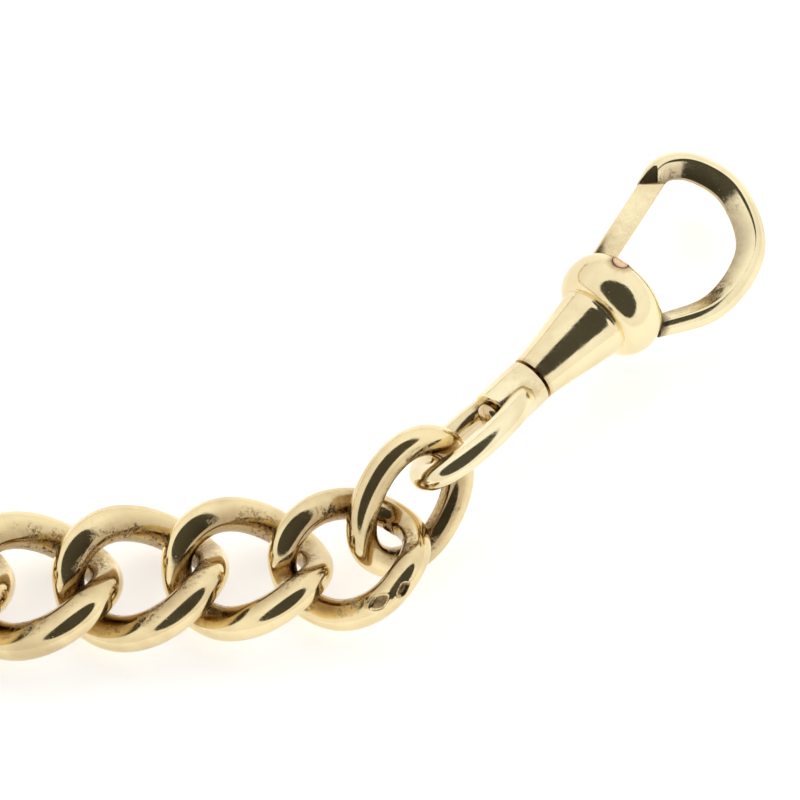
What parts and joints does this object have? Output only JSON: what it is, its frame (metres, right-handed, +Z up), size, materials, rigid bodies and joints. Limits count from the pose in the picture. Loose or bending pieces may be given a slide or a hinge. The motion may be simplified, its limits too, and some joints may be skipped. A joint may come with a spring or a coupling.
{
  "type": "pocket watch chain",
  "caption": "Curb-link pocket watch chain with a sprung hook on a swivel at one end and a T-bar with balls at the other, lying in a curve on a flat surface.",
  "frame": {"origin": "on the surface the chain lies on, under the middle of its bounding box", "axes": "+Z up from the surface; the clip is at the +X side with its hook pointing to +X and +Y, and the chain runs to -X and bends round to the T-bar at +Y"},
  "size_m": [0.124, 0.1294, 0.0099],
  "materials": {
    "gold": "polished",
    "pale_gold": "polished",
    "rose_gold": "polished",
    "spring_steel": "satin"
  },
  "bodies": {
    "clip": {"clip_body": "gold", "hook": "gold", "gate_pin": "rose_gold", "gate_spring": "spring_steel", "swivel_pin": "gold"},
    "gate": {"gate": "gold"},
    "swivel": {"swivel_barrel": "pale_gold", "swivel_loop": "pale_gold"},
    "jump_link": {"jump_link": "gold"},
    "curb_link_01": {"curb_link_01": "gold"},
    "curb_link_02": {"curb_link_02": "gold"},
    "curb_link_03": {"curb_link_03": "gold"},
    "curb_link_04": {"curb_link_04": "gold"},
    "curb_link_05": {"curb_link_05": "gold"},
    "curb_link_06": {"curb_link_06": "gold"},
    "curb_link_07": {"curb_link_07": "gold"},
    "curb_link_08": {"curb_link_08": "gold"},
    "curb_link_09": {"curb_link_09": "gold"},
    "curb_link_10": {"curb_link_10": "gold"},
    "curb_link_11": {"curb_link_11": "gold"},
    "curb_link_12": {"curb_link_12": "gold"},
    "curb_link_13": {"curb_link_13": "gold"},
    "curb_link_14": {"curb_link_14": "gold"},
    "curb_link_15": {"curb_link_15": "gold"},
    "curb_link_16": {"curb_link_16": "gold"},
    "curb_link_17": {"curb_link_17": "gold"},
    "curb_link_18": {"curb_link_18": "gold"},
    "curb_link_19": {"curb_link_19": "gold"},
    "curb_link_20": {"curb_link_20": "gold"},
    "curb_link_21": {"curb_link_21": "gold"},
    "curb_link_22": {"curb_link_22": "gold"},
    "curb_link_23": {"curb_link_23": "gold"},
    "curb_link_24": {"curb_link_24": "gold"},
    "tail_link": {"tail_link": "gold"},
    "tbar": {"tbar_bar": "gold", "tbar_collar": "gold", "tbar_ball_left": "gold", "tbar_ball_right": "gold", "tbar_eye": "gold"}
  },
  "joints": [
    {"name": "gate_hinge", "type": "hinge", "parent": "clip", "child": "gate", "pos_m": [0.04956, -0.03407, 0.00483], "axis": [-0.1855, 0.0557, -0.9811], "range_deg": [0, 28], "stiffness_Nm_per_rad": 0.02, "springref_deg": -17.19},
    {"name": "swivel_turn", "type": "hinge", "parent": "clip", "child": "swivel", "pos_m": [0.04325, -0.04299, 0.00552], "axis": [0.6794, 0.7286, -0.0872], "continuous": true},
    {"name": "jump_link_hinge", "type": "hinge", "parent": "swivel", "child": "jump_link", "pos_m": [0.03586, -0.05015, 0.00699], "axis": [0.478, -0.3493, 0.8059], "range_deg": [-27, 35]},
    {"name": "curb_link_01_hinge", "type": "hinge", "parent": "jump_link", "child": "curb_link_01", "pos_m": [0.0332, -0.0563, 0.00383], "axis": [-0.7457, 0.0247, 0.6658], "range_deg": [-8, 26]},
    {"name": "curb_link_02_hinge", "type": "hinge", "parent": "curb_link_01", "child": "curb_link_02", "pos_m": [0.02578, -0.05772, 0.00359], "axis": [-0.0387, 0.0011, 0.9993], "range_deg": [-18, 41]},
    {"name": "curb_link_03_hinge", "type": "hinge", "parent": "curb_link_02", "child": "curb_link_03", "pos_m": [0.01778, -0.05748, 0.00328], "axis": [-0.1564, 0.9877, 0], "range_deg": [-29, 22]},
    {"name": "curb_link_04_hinge", "type": "hinge", "parent": "curb_link_03", "child": "curb_link_04", "pos_m": [0.00974, -0.05875, 0.00336], "axis": [0.0058, 0.0002, 1], "range_deg": [-18, 32]},
    {"name": "curb_link_05_hinge", "type": "hinge", "parent": "curb_link_04", "child": "curb_link_05", "pos_m": [0.00154, -0.05904, 0.00341], "axis": [-0.0523, -0.9986, 0], "range_deg": [-25, 27]},
    {"name": "curb_link_06_hinge", "type": "hinge", "parent": "curb_link_05", "child": "curb_link_06", "pos_m": [-0.00669, -0.05861, 0.00344], "axis": [-0.0019, 0.0003, -1], "range_deg": [-29, 19]},
    {"name": "curb_link_07_hinge", "type": "hinge", "parent": "curb_link_06", "child": "curb_link_07", "pos_m": [-0.01488, -0.05746, 0.00345], "axis": [-0.2924, -0.9563, 0], "range_deg": [-25, 23]},
    {"name": "curb_link_08_hinge", "type": "hinge", "parent": "curb_link_07", "child": "curb_link_08", "pos_m": [-0.0228, -0.05504, 0.00346], "axis": [-0.0006, 0.0003, -1], "range_deg": [-33, 15]},
    {"name": "curb_link_09_hinge", "type": "hinge", "parent": "curb_link_08", "child": "curb_link_09", "pos_m": [-0.03025, -0.0514, 0.00347], "axis": [0.5736, 0.8192, 0], "range_deg": [-23, 24]},
    {"name": "curb_link_10_hinge", "type": "hinge", "parent": "curb_link_09", "child": "curb_link_10", "pos_m": [-0.03705, -0.04664, 0.00347], "axis": [0.0003, -0.0003, 1], "range_deg": [-15, 33]},
    {"name": "curb_link_11_hinge", "type": "hinge", "parent": "curb_link_10", "child": "curb_link_11", "pos_m": [-0.04301, -0.04088, 0.00347], "axis": [0.7986, 0.6018, 0], "range_deg": [-23, 24]},
    {"name": "curb_link_12_hinge", "type": "hinge", "parent": "curb_link_11", "child": "curb_link_12", "pos_m": [-0.04801, -0.03425, 0.00347], "axis": [0.0001, -0.0001, 1], "range_deg": [-15, 33]},
    {"name": "curb_link_13_hinge", "type": "hinge", "parent": "curb_link_12", "child": "curb_link_13", "pos_m": [-0.0519, -0.02693, 0.00347], "axis": [-0.9455, -0.3256, 0], "range_deg": [-24, 23]},
    {"name": "curb_link_14_hinge", "type": "hinge", "parent": "curb_link_13", "child": "curb_link_14", "pos_m": [-0.05461, -0.01908, 0.00347], "axis": [0, 0, -1], "range_deg": [-33, 15]},
    {"name": "curb_link_15_hinge", "type": "hinge", "parent": "curb_link_14", "child": "curb_link_15", "pos_m": [-0.05605, -0.01091, 0.00347], "axis": [-0.9998, -0.0175, 0], "range_deg": [-24, 23]},
    {"name": "curb_link_16_hinge", "type": "hinge", "parent": "curb_link_15", "child": "curb_link_16", "pos_m": [-0.05619, -0.00261, 0.00347], "axis": [0, 0, -1], "range_deg": [-33, 15]},
    {"name": "curb_link_17_hinge", "type": "hinge", "parent": "curb_link_16", "child": "curb_link_17", "pos_m": [-0.05504, 0.00561, 0.00347], "axis": [0.9563, -0.2924, 0], "range_deg": [-23, 24]},
    {"name": "curb_link_18_hinge", "type": "hinge", "parent": "curb_link_17", "child": "curb_link_18", "pos_m": [-0.05261, 0.01355, 0.00347], "axis": [0, 0, 1], "range_deg": [-15, 33]},
    {"name": "curb_link_19_hinge", "type": "hinge", "parent": "curb_link_18", "child": "curb_link_19", "pos_m": [-0.04897, 0.02101, 0.00347], "axis": [0.8192, -0.5736, 0], "range_deg": [-23, 24]},
    {"name": "curb_link_20_hinge", "type": "hinge", "parent": "curb_link_19", "child": "curb_link_20", "pos_m": [-0.04421, 0.02781, 0.00347], "axis": [0, 0, 1], "range_deg": [-15, 33]},
    {"name": "curb_link_21_hinge", "type": "hinge", "parent": "curb_link_20", "child": "curb_link_21", "pos_m": [-0.03845, 0.03378, 0.00347], "axis": [-0.6018, 0.7986, 0], "range_deg": [-24, 23]},
    {"name": "curb_link_22_hinge", "type": "hinge", "parent": "curb_link_21", "child": "curb_link_22", "pos_m": [-0.03182, 0.03877, 0.00347], "axis": [0, 0, -1], "range_deg": [-33, 15]},
    {"name": "curb_link_23_hinge", "type": "hinge", "parent": "curb_link_22", "child": "curb_link_23", "pos_m": [-0.02449, 0.04267, 0.00347], "axis": [-0.3256, 0.9455, 0], "range_deg": [-24, 23]},
    {"name": "curb_link_24_hinge", "type": "hinge", "parent": "curb_link_23", "child": "curb_link_24", "pos_m": [-0.01664, 0.04537, 0.00347], "axis": [0, 0, -1], "range_deg": [-33, 15]},
    {"name": "tail_link_hinge", "type": "hinge", "parent": "curb_link_24", "child": "tail_link", "pos_m": [-0.00856, 0.04649, 0.00398], "axis": [-0.0638, 0.3985, 0.9149], "range_deg": [-69, 10]},
    {"name": "tbar_hinge", "type": "hinge", "parent": "tail_link", "child": "tbar", "pos_m": [-0.0022, 0.04723, 0.00453], "axis": [0.1754, -0.9845, 0], "range_deg": [-20, 36]}
  ]
}
